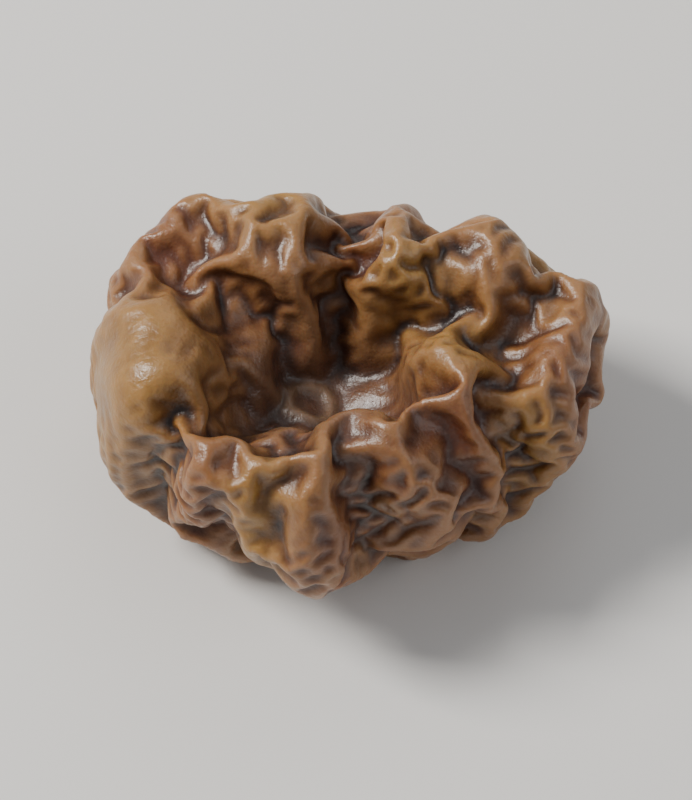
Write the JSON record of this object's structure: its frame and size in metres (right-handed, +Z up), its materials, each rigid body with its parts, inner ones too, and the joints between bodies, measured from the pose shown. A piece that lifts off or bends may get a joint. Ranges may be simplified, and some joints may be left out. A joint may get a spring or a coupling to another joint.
{
  "type": "dried physalis berry",
  "caption": "Single dried physalis berry, collapsed into a wrinkled, lobed cushion with a sunken hollow round the stalk scar, lying on its flattened side.",
  "frame": {"origin": "on the surface the berry lies on, under the middle of its outline", "axes": "+Z up, out of the hollow round the stalk scar; +X to the right along the berry's longest extent; +Y towards the back"},
  "size_m": [0.0178, 0.0142, 0.0093],
  "materials": {
    "dried_fruit": "sticky satin dried skin, golden brown on the ridges and dark red-brown in the creases"
  },
  "bodies": {
    "root": {"berry": "dried_fruit"}
  },
  "joints": []
}
